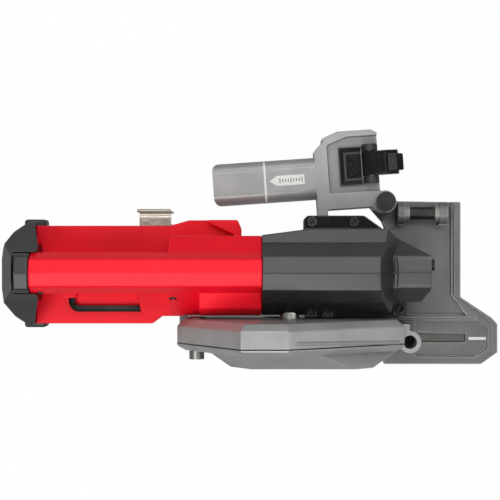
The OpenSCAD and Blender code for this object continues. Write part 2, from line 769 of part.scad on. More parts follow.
module trigger() {
    color(black) {
        block([trigger_x[0], trigger_y[0], grip_low - 9], [trigger_x[1], trigger_y[1], grip_low + 8]);
        block([trigger_x[0] - 2, trigger_y[0], grip_low + shell_wall + move_gap],
              [trigger_x[1] + 2, trigger_y[1], grip_low + 8]);
    }
}
module trigger_switch() {
    color("#3d4a3d") block([switch_x[0], 1, grip_low + 8 + trigger_travel + 0.6],
        [switch_x[1], 16, roof_edge - shell_wall]);
}
module control_board() {
    color("#2f5f35") block([board_x[0], motor_y - 0.8, grip_low + shell_wall],
        [board_x[1], motor_y + 0.8, roof_edge - shell_wall]);
}
module terminal_block() {
    color("#3c3c3c") block([terminal_x[0], terminal_y[0], rail_step - move_gap],
        [terminal_x[1], terminal_y[1], rail_top + move_gap]);
}
// Folded sheet hook for a belt
module belt_hook() {
    color("#a89c8c") difference() {
        union() {
            block([hook_x[0], shelf_side, hook_drop_in], [hook_x[1], shelf_side + hook_t, shelf_top]);
            block([hook_x[0], shelf_side, shelf_top - hook_t], [hook_x[1], hook_out - hook_bend, shelf_top]);
            block([hook_x[0], hook_out - hook_t, hook_drop_out],
                  [hook_x[1], hook_out, shelf_top - hook_bend]);
            intersection() {
                difference() {
                    xcyl(hook_out - hook_bend, shelf_top - hook_bend, hook_x[0], hook_x[1], hook_bend);
                    xcyl(hook_out - hook_bend, shelf_top - hook_bend, hook_x[0] - 1, hook_x[1] + 1,
                         hook_bend - hook_t);
                }
                block([hook_x[0], hook_out - hook_bend, shelf_top - hook_bend],
                      [hook_x[1], hook_out, shelf_top]);
            }
        }
        ycyl(hook_mid, hook_z, shelf_side - 1, shelf_side + hook_t + 1, 2);
    }
}
module hook_screw() {
    color(steel) {
        ycyl(hook_mid, hook_z, shelf_side - 6.5, shelf_side + hook_t, 2);
        ycyl(hook_mid, hook_z, shelf_side + hook_t, shelf_side + hook_t + 2, 3.6);
    }
}
// Hex key carried in its clip
module hex_key() {
    color("#4a4a48") {
        translate([key_x[0] + key_bend, key_y, key_z]) rotate([0, 90, 0])
            cylinder(r = key_r, h = key_x[1] - key_x[0] - key_bend, $fn = 6);
        translate([key_x[0] + key_bend, key_y + key_bend, key_z]) rotate([0, 0, 180])
            rotate_extrude(angle = 90) translate([key_bend, 0]) rotate(30) circle(r = key_r, $fn = 6);
        translate([key_x[0], key_y + key_bend, key_z]) rotate([-90, 0, 0]) rotate([0, 0, 30])
            cylinder(r = key_r, h = 5, $fn = 6);
    }
}
battery_plan = [
    [battery_x[0], -10], [battery_x[0] + 12, battery_y[0]], [battery_x[1], battery_y[0]],
    [battery_x[1], battery_y[1]], [battery_x[0] + 12, battery_y[1]], [battery_x[0], 24]
];
module latch_pockets(g) {
    for (side = [0, 1]) latch_form(side, g);
}
// One battery latch, on the lower (0) or upper (1) side, grown by g for its pocket
module latch_form(side, g) {
    y = side == 0 ? [battery_y[0] - 6, battery_y[0] + 4 + (g > 0 ? 3.5 : 0)]
                  : [battery_y[1] - 4 - (g > 0 ? 3.5 : 0), battery_y[1] + 7];
    block([latch_x[0] - g, y[0], latch_z[0] - g], [latch_x[1] + g, y[1], latch_z[1] + g]);
}
module battery_case() {
    color("#262626") difference() {
        union() {
            zprism(0, battery_h, battery_plan);
            block([rail_x[0], rail_neck[0], battery_h - 0.01], [rail_x[1], rail_neck[1], rail_top]);
            block([rail_x[0], rail_head[0], rail_step], [rail_x[1], rail_head[1], rail_top]);
        }
        block([first_cell - cell_r, cell_y[0] - 0.5, battery_wall],
              [first_cell + 3 * cell_step + cell_r + 0.2, cell_y[1] + 0.5, battery_wall + 2 * cell_r + 2]);
        latch_pockets(0.4);
    }
}
module battery_cells() {
    color("#5a7a9a") for (i = [0 : 3])
        ycyl(first_cell + cell_step * i, battery_wall + cell_r, cell_y[0], cell_y[1], cell_r);
}
module battery_latch_low() {
    color("#303030") latch_form(0, 0);
}
module battery_latch_high() {
    color("#303030") latch_form(1, 0);
}

// Sizes of the arm, in its own frame at the pivot bolt
arm_low = base_t + move_gap;
arm_top = 35;
tube_y = 23.5;
tube_z = 20;
plate_x = [-56, -48];
lever_pin = [-10, 36.5];
lever_y = [22.5, 42.5];
tray_z = arm_top - 5;
lever_pin_r = 2.5;
bush_r = 6.5;
tube_end = plate_x[0] - tube_len - 9;
tube_corner = 6;

module arm_frame() {
    translate([arm_x, arm_y, 0]) rotate([0, 0, arm_angle]) children();
}
// Bar along X with rounded long edges
module round_bar(x0, x1, y, z, w, h, r) {
    block([x0, y - w / 2 + r, z - h / 2], [x1, y + w / 2 - r, z + h / 2]);
    block([x0, y - w / 2, z - h / 2 + r], [x1, y + w / 2, z + h / 2 - r]);
    for (a = [-1, 1]) for (b = [-1, 1]) xcyl(y + a * (w / 2 - r), z + b * (h / 2 - r), x0, x1, r);
}
// Cast arm: measuring tube, flange plate and bracket
module arm_casting() {
    color(grey) arm_frame() difference() {
        union() {
            measuring_tube();
            zprism(5, arm_top, [[plate_x[0], -16], [plate_x[1], -16], [plate_x[1], 54], [plate_x[0], 46]]);
            zprism(arm_low, arm_top, [
                [plate_x[1] - 1, -4], [-4, -4], [-3, 6], [-3, 58], [-8, 61], [-36, 61], [plate_x[1] - 1, 56]
            ]);
            zcyl(0, 0, arm_low, arm_top, 9.5);
            block([-10, -6, arm_low], [0, 6, arm_top]);
        }
        zprism(tray_z, arm_top + 1, [[-45, 10], [0, 10], [0, 56], [-28, 56], [-45, 50]]);
        block([-34, lever_y[0] - 0.5, 14], [-2, lever_y[1] + 0.5, 60]);
        zcyl(0, 0, arm_low - 1, arm_top + 1, bush_r);
    }
    color(grey) arm_frame() for (y = [lever_y[0] - 5.5, lever_y[1] + 0.5]) lever_cheek(y);
}
// Tube with rounded long edges and a rounded tip
module measuring_tube() {
    c = tube_corner;
    lo = tube_y - tube_w / 2;
    hi = tube_y + tube_w / 2;
    intersection() {
        round_bar(tube_end, plate_x[0] + 1, tube_y, tube_z, tube_w, tube_h, 9);
        union() {
            block([tube_end + c, lo - 1, 0], [plate_x[0] + 1, hi + 1, 60]);
            block([tube_end, lo + c, 0], [tube_end + c + 1, hi - c, 60]);
            for (y = [lo + c, hi - c]) zcyl(tube_end + c, y, 0, 60, c);
        }
    }
}
module lever_cheek(y) {
    difference() {
        union() {
            block([lever_pin[0] - 6, y, tray_z - 1], [lever_pin[0] + 6, y + 5, lever_pin[1]]);
            ycyl(lever_pin[0], lever_pin[1], y, y + 5, 6);
        }
        ycyl(lever_pin[0], lever_pin[1], y - 1, y + 6, lever_pin_r);
    }
}
module arm_bush() {
    color("#b08d57") arm_frame() difference() {
        zcyl(0, 0, arm_low, arm_top, bush_r);
        zcyl(0, 0, arm_low - 1, arm_top + 1, arm_bolt_r + run_gap);
    }
}
module latch_pin() {
    color(steel) arm_frame()
        ycyl(lever_pin[0], lever_pin[1], lever_y[0] - 5.5, lever_y[1] + 5.5, lever_pin_r);
}
// Over-centre lever with a shallow hook for the strike bar
module latch_lever() {
    color("#161616") arm_frame() difference() {
        union() {
            ycyl(lever_pin[0], lever_pin[1], lever_y[0], lever_y[1], 7);
            yprism(lever_y[0], lever_y[1], [
                [lever_pin[0], lever_pin[1] - 4.5], [4, 32], [12.5, 31.9], [13.5, 36], [12, 41], [2, 45],
                [lever_pin[0], lever_pin[1] + 7]
            ]);
            yprism(lever_y[0] + 3, lever_y[1] - 3, [[8, 33], [16, 31.8], [18, 34], [16.5, 37], [8, 38]]);
        }
        ycyl(lever_pin[0], lever_pin[1], lever_y[0] - 1, lever_y[1] + 1, lever_pin_r + run_gap);
        ycyl(10.2, 25.5, lever_y[0] - 1, lever_y[1] + 1, bar_r + 2);
    }
}

base_plate();
guard_housing();
guard_cover();
guard_bolt();
guard_screw();
strike_bar();
bar_collars();
pivot_blocks();
block_screws();
plunge_pin();
plunge_spring();
arm_bolt();
gear_case_upper();
gear_case_lower();
case_screws();
spindle_bearings();
motor_bearings();
spindle();
crown_gear();
pinion();
inner_flange();
outer_flange();
blade_bolt();
blade();
motor_shaft();
rotor_core();
cooling_fan();
stator_core();
stator_windings();
spindle_lock();
housing_left();
housing_right();
housing_screws();
rear_bumper();
trigger();
trigger_switch();
control_board();
terminal_block();
belt_hook();
hook_screw();
hex_key();
battery_case();
battery_cells();
battery_latch_low();
battery_latch_high();
arm_casting();
arm_bush();
latch_pin();
latch_lever();
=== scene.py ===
# %% [markdown]
# # A cordless plunge saw for pipe
# The real tool is a hand-held saw: a red moulded body, a black gear case, a grey cast guard and base,
# and a swinging measuring arm. The CAD frame already holds each part at its true size, with its joints.
# This lesson dresses that frame: soft edges, a finish for each real material, trims, and a plain studio.

# %% Load the frame
import json
import math
from itertools import combinations

import bmesh
import bpy
from mathutils import Matrix, Vector

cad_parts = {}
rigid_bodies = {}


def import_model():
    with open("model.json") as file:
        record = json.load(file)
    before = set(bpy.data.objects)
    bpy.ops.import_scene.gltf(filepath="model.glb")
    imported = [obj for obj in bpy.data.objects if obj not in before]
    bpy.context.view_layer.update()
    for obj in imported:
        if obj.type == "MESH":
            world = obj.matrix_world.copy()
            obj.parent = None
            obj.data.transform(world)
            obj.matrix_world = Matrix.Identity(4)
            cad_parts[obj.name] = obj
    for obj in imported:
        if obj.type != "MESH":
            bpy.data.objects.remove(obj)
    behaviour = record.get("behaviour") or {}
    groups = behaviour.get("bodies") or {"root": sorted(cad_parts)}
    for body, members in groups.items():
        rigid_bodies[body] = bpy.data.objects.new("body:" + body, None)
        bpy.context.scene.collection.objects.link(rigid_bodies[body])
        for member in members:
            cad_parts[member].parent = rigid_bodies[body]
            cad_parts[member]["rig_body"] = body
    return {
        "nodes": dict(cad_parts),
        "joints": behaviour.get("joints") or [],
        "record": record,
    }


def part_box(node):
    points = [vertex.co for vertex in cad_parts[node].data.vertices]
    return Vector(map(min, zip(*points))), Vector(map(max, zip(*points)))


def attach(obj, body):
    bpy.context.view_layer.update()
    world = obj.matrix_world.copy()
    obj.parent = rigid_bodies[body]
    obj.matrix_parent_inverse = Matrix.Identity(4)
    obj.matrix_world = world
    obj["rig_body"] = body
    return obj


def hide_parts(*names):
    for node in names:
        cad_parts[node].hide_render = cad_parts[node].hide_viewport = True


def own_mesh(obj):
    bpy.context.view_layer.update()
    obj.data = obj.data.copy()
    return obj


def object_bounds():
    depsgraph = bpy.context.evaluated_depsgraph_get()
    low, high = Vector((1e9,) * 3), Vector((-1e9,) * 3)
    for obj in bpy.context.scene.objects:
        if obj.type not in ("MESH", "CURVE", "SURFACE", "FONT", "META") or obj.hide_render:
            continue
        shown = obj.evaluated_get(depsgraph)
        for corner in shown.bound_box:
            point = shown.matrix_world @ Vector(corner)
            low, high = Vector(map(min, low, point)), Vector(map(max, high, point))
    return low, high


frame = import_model()
cad_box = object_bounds()
nodes = frame["nodes"]
slot_of = {part["node"]: part["material_slot"] for part in frame["record"]["subparts"]}
MM = 0.001

# %% [markdown]
# ## Colours and nodes
# A colour picker shows sRGB, while shaders work in linear light, so one function turns hex into linear.
# Materials here are node trees. Adding a node takes three steps each time: make it, fill its sockets,
# link it. One small function does all three, which keeps each recipe as short as it is on paper.

# %% A colour function and a node function
def linear(hex_colour):
    """Linear RGBA of an sRGB hex value."""
    channels = [int(hex_colour[i:i + 2], 16) / 255 for i in (1, 3, 5)]
    return [c / 12.92 if c <= 0.04045 else ((c + 0.055) / 1.055) ** 2.4 for c in channels] + [1.0]


def add(tree, kind, sockets=None, links=None, **settings):
    """Adds a shader node, fills its sockets and links other nodes' outputs to it."""
    node = tree.nodes.new("ShaderNode" + kind)
    for field, value in settings.items():
        setattr(node, field, value)
    for socket, value in (sockets or {}).items():
        node.inputs[socket].default_value = value
    for socket, output in (links or {}).items():
        tree.links.new(output, node.inputs[socket])
    return node


print("mid grey in linear light:", [round(c, 3) for c in linear("#808080")])

# %% [markdown]
# ## One recipe for moulded, cast and ground surfaces
# A real surface differs from a flat colour in four ways. Its tone drifts a little over a few centimetres.
# It has a fine relief from the mould, the sand or the grinding belt. Its gloss varies with that relief.
# And its edges are painted lighter, partly as wear where hands and benches touch and partly as a painted
# highlight where an edge catches the light. The Bevel node finds those edges: it rounds
# the normal near a corner, so where it differs from the true normal there is an edge to lighten.
# The recipe takes real sizes in millimetres, so each finish below is only a list of facts. A mould's own
# texture is finer than a pixel of the picture, which is 0.8 mm wide, so grain is drawn as coarse as it has to
# be to show.

# %% The surface recipe
DRIFT_LOW, DRIFT_HIGH = 0.35, 0.65
GRAIN_LOW, GRAIN_HIGH = 0.3, 0.7
GLOSS_SPREAD = 0.07
FLAT_MATCH, EDGE_MATCH = 0.985, 0.90


def surface(name, colour, shade, metallic, roughness, grain_mm, relief_mm,
            edge_wear_and_glint=None, wear_and_glint=0.5, stretch=(1, 1, 1), drift_mm=25, wear_and_glint_mm=0.9, **sockets):
    """Material with drifting tone, fine relief, varied gloss, and edges lightened as wear and as painted
    highlight.
    """
    material = bpy.data.materials.new(name)
    material.use_nodes = True
    tree = material.node_tree
    tree.nodes.clear()
    place = add(tree, "TexCoord").outputs["Object"]
    turned = add(tree, "Mapping", {"Scale": stretch}, {"Vector": place}).outputs[0]
    drift = add(tree, "TexNoise", {"Scale": 1 / (drift_mm * MM), "Detail": 3.0}, {"Vector": place})
    grain = add(tree, "TexNoise", {"Scale": 1 / (grain_mm * MM), "Detail": 2.0}, {"Vector": turned})
    patches = add(tree, "MapRange", {"From Min": DRIFT_LOW, "From Max": DRIFT_HIGH},
                  {"Value": drift.outputs["Fac"]})
    tone = add(tree, "Mix", {6: linear(colour), 7: linear(shade)}, {0: patches.outputs[0]}, data_type="RGBA")
    paint = tone.outputs[2]
    # Edges lightened in patches: partly wear, partly a painted highlight on edges that catch the light.
    if edge_wear_and_glint:
        round_normal = add(tree, "Bevel", {"Radius": wear_and_glint_mm * MM}, samples=4).outputs[0]
        true_normal = add(tree, "NewGeometry").outputs["Normal"]
        match = add(tree, "VectorMath", links={0: round_normal, 1: true_normal}, operation="DOT_PRODUCT")
        edge = add(tree, "MapRange", {"From Min": FLAT_MATCH, "From Max": EDGE_MATCH, "To Max": wear_and_glint},
                   {"Value": match.outputs["Value"]})
        worn_and_glinting = add(tree, "Math", links={0: edge.outputs[0], 1: patches.outputs[0]}, operation="MULTIPLY")
        half = add(tree, "Math", {1: 0.5}, {0: edge.outputs[0]}, operation="MULTIPLY")
        both = add(tree, "Math", links={0: worn_and_glinting.outputs[0], 1: half.outputs[0]},
                   operation="ADD", use_clamp=True)
        paint = add(tree, "Mix", {7: linear(edge_wear_and_glint)}, {0: both.outputs[0], 6: paint},
                    data_type="RGBA").outputs[2]
    gloss = add(tree, "MapRange",
                {"From Min": GRAIN_LOW, "From Max": GRAIN_HIGH,
                 "To Min": roughness - GLOSS_SPREAD, "To Max": roughness + GLOSS_SPREAD},
                {"Value": grain.outputs["Fac"]})
    relief = add(tree, "Bump", {"Distance": relief_mm * MM, "Strength": 1.0},
                 {"Height": grain.outputs["Fac"]})
    shader = add(tree, "BsdfPrincipled", {"Metallic": metallic, **sockets},
                 {"Base Color": paint, "Roughness": gloss.outputs[0], "Normal": relief.outputs[0]})
    add(tree, "OutputMaterial", links={"Surface": shader.outputs[0]})
    return material


finishes = {}
print("surface recipe ready")

# %% [markdown]
# ## Grey castings
# The guard, base and arm are die-cast aluminium under a thin grey metallic paint. The paint is satin, it
# follows the slight orange-peel of the casting skin, and its edges are lightened, partly as paint scuffed to
# bare metal and partly as a painted highlight.
# It is a metal finish in the eye, so metallic sits between paint (0) and bare metal (1).

# %% Grey cast aluminium
finishes["cast_aluminium"] = surface(
    "cast aluminium, grey metallic paint", "#A0A09F", "#949494", metallic=0.3, roughness=0.36,
    grain_mm=0.9, relief_mm=0.035, edge_wear_and_glint="#CFCFCC", wear_and_glint=0.4)
print(finishes["cast_aluminium"].name)

# %% [markdown]
# ## Black castings
# The gear case and the pivot blocks are castings under black powder coat. Powder melts into tiny rounded
# grains about half a millimetre wide, so the coat is rougher than plastic and catches a broad soft light.

# %% Black powder coat
finishes["black_casting"] = surface(
    "cast magnesium, black powder coat", "#262626", "#202020", metallic=0.0, roughness=0.36,
    grain_mm=0.6, relief_mm=0.05, edge_wear_and_glint="#6A6A6A", wear_and_glint=0.45, **{"Specular IOR Level": 0.7})
print(finishes["black_casting"].name)

# %% [markdown]
# ## Moulded nylon
# The red shells and the black bumper and battery are glass-filled nylon. A spark-eroded mould leaves a
# fine even texture, and the glass gives a satin gloss. The red is a deep pigment all through, so its edges
# turn only a little lighter, where the black ones turn grey; on both this is partly wear and partly a painted
# highlight.
# The latch lever is acetal, which a thumb soon polishes to a wet black.

# %% Red nylon, black nylon and acetal
finishes["red_shell"] = surface(
    "glass-filled nylon, moulded red", "#FF0F2A", "#F60D27", metallic=0.0, roughness=0.40,
    grain_mm=0.7, relief_mm=0.02, edge_wear_and_glint="#FF4C5C", wear_and_glint=0.35, **{"Specular IOR Level": 0.22})
finishes["black_plastic"] = surface(
    "glass-filled nylon, moulded black", "#222222", "#1B1B1B", metallic=0.0, roughness=0.40,
    grain_mm=0.6, relief_mm=0.03, edge_wear_and_glint="#606060", wear_and_glint=0.45, **{"Specular IOR Level": 0.55})
finishes["gloss_black"] = surface(
    "acetal, polished black", "#0A0A0A", "#0E0E0E", metallic=0.0, roughness=0.14,
    grain_mm=2.5, relief_mm=0.006, edge_wear_and_glint="#4A4A4A", wear_and_glint=0.35, wear_and_glint_mm=0.5, **{"Specular IOR Level": 0.3})
print(*(finishes[slot].name for slot in ("red_shell", "black_plastic", "gloss_black")), sep=" / ")

# %% [markdown]
# ## Steels
# Pins and shafts are zinc-plated and bright, screws and bar are black oxide over oil, the belt hook is
# nickel-plated sheet with rolling lines along its length, and the blade is ground in fine parallel lines.
# Lines come from the same recipe with the pattern stretched along one axis.

# %% Steel finishes
finishes["bright_steel"] = surface(
    "turned steel, zinc plated", "#C2C2BE", "#AFAFAA", metallic=1.0, roughness=0.28,
    grain_mm=0.8, relief_mm=0.008, edge_wear_and_glint="#E4E4E0", wear_and_glint=0.4, stretch=(1, 1, 5), wear_and_glint_mm=0.4)
finishes["dark_steel"] = surface(
    "steel, black oxide", "#3B3B3A", "#2D2D2C", metallic=0.85, roughness=0.36,
    grain_mm=0.7, relief_mm=0.015, edge_wear_and_glint="#7C7C78", wear_and_glint=0.45, wear_and_glint_mm=0.4)
finishes["nickel_sheet"] = surface(
    "rolled steel sheet, nickel plated", "#B3A79C", "#A89C91", metallic=1.0, roughness=0.26,
    grain_mm=1.2, relief_mm=0.002, edge_wear_and_glint="#DED4C4", wear_and_glint=0.25, stretch=(0.15, 1, 1), wear_and_glint_mm=0.4)
finishes["blade_steel"] = surface(
    "ground saw steel", "#BDBDBA", "#ABABA8", metallic=1.0, roughness=0.26,
    grain_mm=0.9, relief_mm=0.01, edge_wear_and_glint="#E6E6E2", wear_and_glint=0.4, stretch=(0.1, 1, 1), wear_and_glint_mm=0.4)
finishes["gear_steel"] = surface(
    "hobbed gear steel, oiled", "#8E8E8A", "#777773", metallic=1.0, roughness=0.33,
    grain_mm=0.6, relief_mm=0.01, edge_wear_and_glint="#C6C6C0", wear_and_glint=0.4, wear_and_glint_mm=0.4)
print("five steels")

# %% [markdown]
# ## Inside materials
# Windings, bush, board and cells sit inside the shells, but a part library shows them when the shells
# come off, so each gets its own real finish too: enamelled copper, sintered bronze with open pores,
# a lacquered board and a shrink sleeve.

# %% Copper, bronze, board and sleeve
finishes["copper"] = surface(
    "enamelled copper wire", "#B4622E", "#93481D", metallic=0.9, roughness=0.3,
    grain_mm=1.1, relief_mm=0.12, edge_wear_and_glint="#D58A55", wear_and_glint=0.4, stretch=(0.1, 1, 1))
finishes["bronze"] = surface(
    "sintered bronze", "#A9824A", "#8C6A39", metallic=1.0, roughness=0.42,
    grain_mm=0.4, relief_mm=0.03, edge_wear_and_glint="#CDAA72", wear_and_glint=0.4)
finishes["board"] = surface(
    "glass-epoxy board, green lacquer", "#1F5A2C", "#174823", metallic=0.0, roughness=0.35,
    grain_mm=0.8, relief_mm=0.01, edge_wear_and_glint="#7FA07F", wear_and_glint=0.3)
finishes["cell_wrap"] = surface(
    "shrink sleeve on cells", "#41648A", "#385878", metallic=0.0, roughness=0.25,
    grain_mm=3.0, relief_mm=0.02, edge_wear_and_glint="#8AA5C0", wear_and_glint=0.3)
print(len(finishes), "finishes for the inside and the outside")

# %% [markdown]
# ## White print
# Lines on tools are screen-printed enamel: nearly white, satin, with an even edge and a slight grain.

# %% White enamel
finishes["white_print"] = surface(
    "screen-printed enamel, white", "#E8E8E5", "#DCDCD8", metallic=0.0, roughness=0.5,
    grain_mm=0.5, relief_mm=0.01)
print(len(finishes), "finishes for", len(set(slot_of.values())), "slots and the print")

# %% [markdown]
# ## Parts with a finish of their own
# Some parts share a slot but not a look. The base's paint is a darker grey, and its rim edges are lightened
# strongly, partly as wear and partly as a painted highlight. The guard's paint is a lighter copy of the grey,
# painted as the light on its high faces. The lock pin and the screws of the gear case and pivot blocks are
# phosphated black, with a painted highlight ring on their edges; the guard bolt is oiled, and the collars on
# the strike bar are tumbled, which is even and matt where pins are bright. The liner of the arm's tray is a
# darker grey as painted shade in the tray, and the strip in the sight slot is a dark grey as painted shade in
# the slot.

# %% Base, guard, screws, collars, and the painted shade of tray and sight slot
own_finish = {
    # Darker grey paint, with rim edges lightened strongly: partly wear, partly a painted highlight.
    "base_plate": surface(
        "cast aluminium, worn grey paint", "#747474", "#696968", metallic=0.45, roughness=0.42,
        grain_mm=0.9, relief_mm=0.035, edge_wear_and_glint="#CFCFCC", wear_and_glint=0.8, wear_and_glint_mm=1.2),
    # A lighter copy of the grey paint: painted light on the guard's high faces.
    "guard_housing": surface(
        "cast aluminium, grey paint, lighter as painted light", "#A8A8A7", "#9C9C9B", metallic=0.3, roughness=0.36,
        grain_mm=0.9, relief_mm=0.035, edge_wear_and_glint="#D2D2D0", wear_and_glint=0.4),
    # Black, with edges lightened strongly: a painted highlight ring on each head, partly wear.
    "case_screws": surface(
        "steel, black phosphate", "#1A1A1A", "#141414", metallic=0.5, roughness=0.28,
        grain_mm=0.7, relief_mm=0.01, edge_wear_and_glint="#C4C4C2", wear_and_glint=1.0, wear_and_glint_mm=0.5),
    "guard_bolt": surface(
        "turned steel, oiled", "#8F8F8B", "#7E7E7A", metallic=1.0, roughness=0.34,
        grain_mm=0.6, relief_mm=0.01, edge_wear_and_glint="#C8C8C4", wear_and_glint=0.4, stretch=(1, 5, 1), wear_and_glint_mm=0.4),
    "bar_collars": surface(
        "tumbled steel", "#8C8C88", "#7C7C78", metallic=0.6, roughness=0.45,
        grain_mm=0.7, relief_mm=0.02, edge_wear_and_glint="#BEBEBA", wear_and_glint=0.4, wear_and_glint_mm=0.4),
    # Darker grey: painted shade in the tray's recess.
    "tray_floor_shade": surface(
        "cast aluminium, grey darkened as painted shade", "#8A8A89", "#80807F", metallic=0.35, roughness=0.40,
        grain_mm=0.9, relief_mm=0.035, edge_wear_and_glint="#CFCFCC", wear_and_glint=0.4),
    # Dark grey: painted shade at the floor of the sight slot.
    "sight_slot_shade_strip": surface(
        "steel, darkened as painted shade", "#605F5D", "#545350", metallic=0.6, roughness=0.42,
        grain_mm=0.7, relief_mm=0.02, edge_wear_and_glint="#A09F9B", wear_and_glint=0.4, wear_and_glint_mm=0.4),
}
own_finish["block_screws"] = own_finish["case_screws"]
own_finish["spindle_lock"] = own_finish["case_screws"]
own_finish["guard_cover"] = own_finish["guard_housing"]
print(len(own_finish), "parts have their own finish")

# %% [markdown]
# ## Soft edges on the CAD parts
# No cast or moulded edge is knife sharp, and a sharp edge catches no light, which is what makes a CAD
# render look like CAD. Each CAD node is loose triangles and stays as it is. A copy has its doubles merged
# and its flat faces joined, so that only real edges are left, and a Bevel modifier rounds those.
# Tiny facets of a bore differ in angle too, so an edge counts only where both its faces are wide.
# Where two halves meet in a seam, the edge keeps a share of the radius: a joint is a fine line, not a groove.

# %% How much room an edge has
RUNS_ON = math.radians(150)
ROOM_SHARE = 0.45
SAME_POINT, TINY = 1e-6, 1e-9


def opening(edge, near, corner):
    """Angle between two edges at their common corner: half a turn where they run on in one line."""
    ahead = edge.other_vert(corner).co - corner.co
    return ahead.angle(near.other_vert(corner).co - corner.co, math.pi)


def width(loop):
    """Narrowest place of a face beside one of its edges, measured straight across the face."""
    start, edge = loop.vert.co, loop.edge
    length = max(edge.calc_length(), TINY)
    along = (loop.link_loop_next.vert.co - start) / length
    inward = loop.face.normal.cross(along)
    found = [loop.face.calc_area() / length * 2]
    for other in loop.face.loops:
        if not set(other.edge.verts) & set(edge.verts):
            ends = [v.co - start for v in other.edge.verts]
            (u0, w0), (u1, w1) = sorted((end.dot(along), end.dot(inward)) for end in ends)
            if u1 > 0 and u0 < length:
                slope = (w1 - w0) / max(u1 - u0, TINY)
                found += [w0 + slope * (u - u0) for u in (max(u0, 0), min(u1, length))]
    return min(gap for gap in found if gap > SAME_POINT)


def room(edge):
    """How far an edge may be rounded before it meets a neighbour: less than half of what is beside it."""
    length = max(edge.calc_length(), TINY)
    spans = [width(loop) for loop in edge.link_loops]
    for corner in edge.verts:
        for near in corner.link_edges:
            angle = opening(edge, near, corner)
            if near is not edge and angle < RUNS_ON:
                spans.append(min(near.calc_length(), length) * min(1.0, math.tan(angle / 2)))
    return ROOM_SHARE * min(spans)


print("an edge may take", ROOM_SHARE, "of the room beside it")

# %% The soft-edge function
FLAT_DEG = 0.4
WIDE = 1.0 * MM
ON_SEAM = 0.01 * MM
SWEEPS = 30


def place_piece(name, mesh, body, slot, finish=None):
    """Links a finished mesh to the scene, gives it a finish and a body to ride on."""
    piece = bpy.data.objects.new(name, mesh)
    bpy.context.scene.collection.objects.link(piece)
    mesh.materials.clear()
    mesh.materials.append(finish or finishes[slot])
    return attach(piece, body)


def softened(name, radius_mm, fine_deg=7, coarse_deg=25, crease_deg=1.5, least=0.0):
    """Copy of a CAD node with rounded edges, shown in the node's place."""
    axis, level, seam_share = seams.get(name, (0, math.inf, 1.0))
    bm = bmesh.new()
    bm.from_mesh(nodes[name].data)
    bmesh.ops.remove_doubles(bm, verts=bm.verts, dist=SAME_POINT)
    bmesh.ops.dissolve_limit(bm, angle_limit=math.radians(FLAT_DEG), verts=bm.verts, edges=bm.edges)
    weight = bm.edges.layers.float.new("bevel_weight_edge")
    share = {}
    for edge in bm.edges:
        turn = math.degrees(edge.calc_face_angle(0.0))
        space = room(edge) if turn > crease_deg else 0.0
        wide = space > WIDE
        if turn > coarse_deg or (turn > fine_deg and wide):
            share[edge] = min(1.0, space / (radius_mm * MM))
        elif turn > crease_deg and wide:
            edge.smooth = False
    for _ in range(SWEEPS):
        for corner in bm.verts:
            for edge, near in combinations([e for e in corner.link_edges if e in share], 2):
                if opening(edge, near, corner) > RUNS_ON:
                    share[edge] = share[near] = min(share[edge], share[near])
    for edge in share:
        on_seam = all(abs(v.co[axis] - level) < ON_SEAM for v in edge.verts)
        edge[weight] = share[edge] * (seam_share if on_seam else 1.0) if share[edge] > least else 0.0
        edge.smooth = edge[weight] > 0
    for face in bm.faces:
        face.smooth = True
    mesh = bpy.data.meshes.new(name + "_soft")
    bm.to_mesh(mesh)
    bm.free()
    piece = place_piece(name + "_soft", mesh, nodes[name]["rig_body"], slot_of[name], own_finish.get(name))
    rounding = piece.modifiers.new("rounded edges", "BEVEL")
    rounding.limit_method = "WEIGHT"
    rounding.width = radius_mm * MM
    rounding.segments = 3
    rounding.use_clamp_overlap = False
    rounding.miter_outer = "MITER_ARC"
    shading = piece.modifiers.new("flat faces shade flat", "WEIGHTED_NORMAL")
    shading.keep_sharp = True
    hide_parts(name)
    return piece


print("soft-edge function ready")

# %% [markdown]
# ## The castings, mouldings and hardware
# The radius follows the process: about 1 mm on a die casting, a little more on a moulding, and only a few
# tenths of a millimetre on turned and ground steel. The red shells meet along the ridge, the guard halves
# beside the blade and the gear case halves at the height of the motor shaft. The base has ledges less than
# a millimetre wide: an edge there that has no room for a third of its radius stays crisp.

# %% Round every visible part
shell_seam = (1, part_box("housing_left")[1].y, 0.2)
guard_seam = (1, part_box("guard_cover")[1].y, 0.5)
case_seam = (2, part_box("gear_case_lower")[1].z, 0.2)
seams = {"housing_left": shell_seam, "housing_right": shell_seam, "guard_cover": guard_seam,
         "guard_housing": guard_seam, "gear_case_lower": case_seam, "gear_case_upper": case_seam}
edge_radius = {
    "base_plate": 0.7, "guard_housing": 1.0, "guard_cover": 1.0, "arm_casting": 1.0,
    "gear_case_upper": 1.0, "gear_case_lower": 1.0, "pivot_blocks": 0.6,
    "housing_left": 1.2, "housing_right": 1.2, "rear_bumper": 1.5, "battery_case": 1.2,
    "battery_latch_low": 2.4, "battery_latch_high": 2.4, "trigger": 1.0, "latch_lever": 1.6,
    "strike_bar": 0.5, "bar_collars": 0.5, "arm_bolt": 0.4, "guard_bolt": 0.5, "guard_screw": 0.4,
    "block_screws": 0.3, "case_screws": 0.5, "hook_screw": 0.3, "housing_screws": 0.2,
    "spindle_lock": 0.5, "plunge_pin": 0.4, "belt_hook": 0.35, "hex_key": 0.3,
}
crisp = {"base_plate": 0.35}
soft = {name: softened(name, radius, least=crisp.get(name, 0.0)) for name, radius in edge_radius.items()}
print(len(soft), "parts have rounded edges")

# %% [markdown]
# ## Parts that keep their CAD mesh
# Shafts, gears, bearings and the other inside parts are already right as solids. They keep their meshes
# and take the finish of their slot, in place of the plain colour that came with the frame.

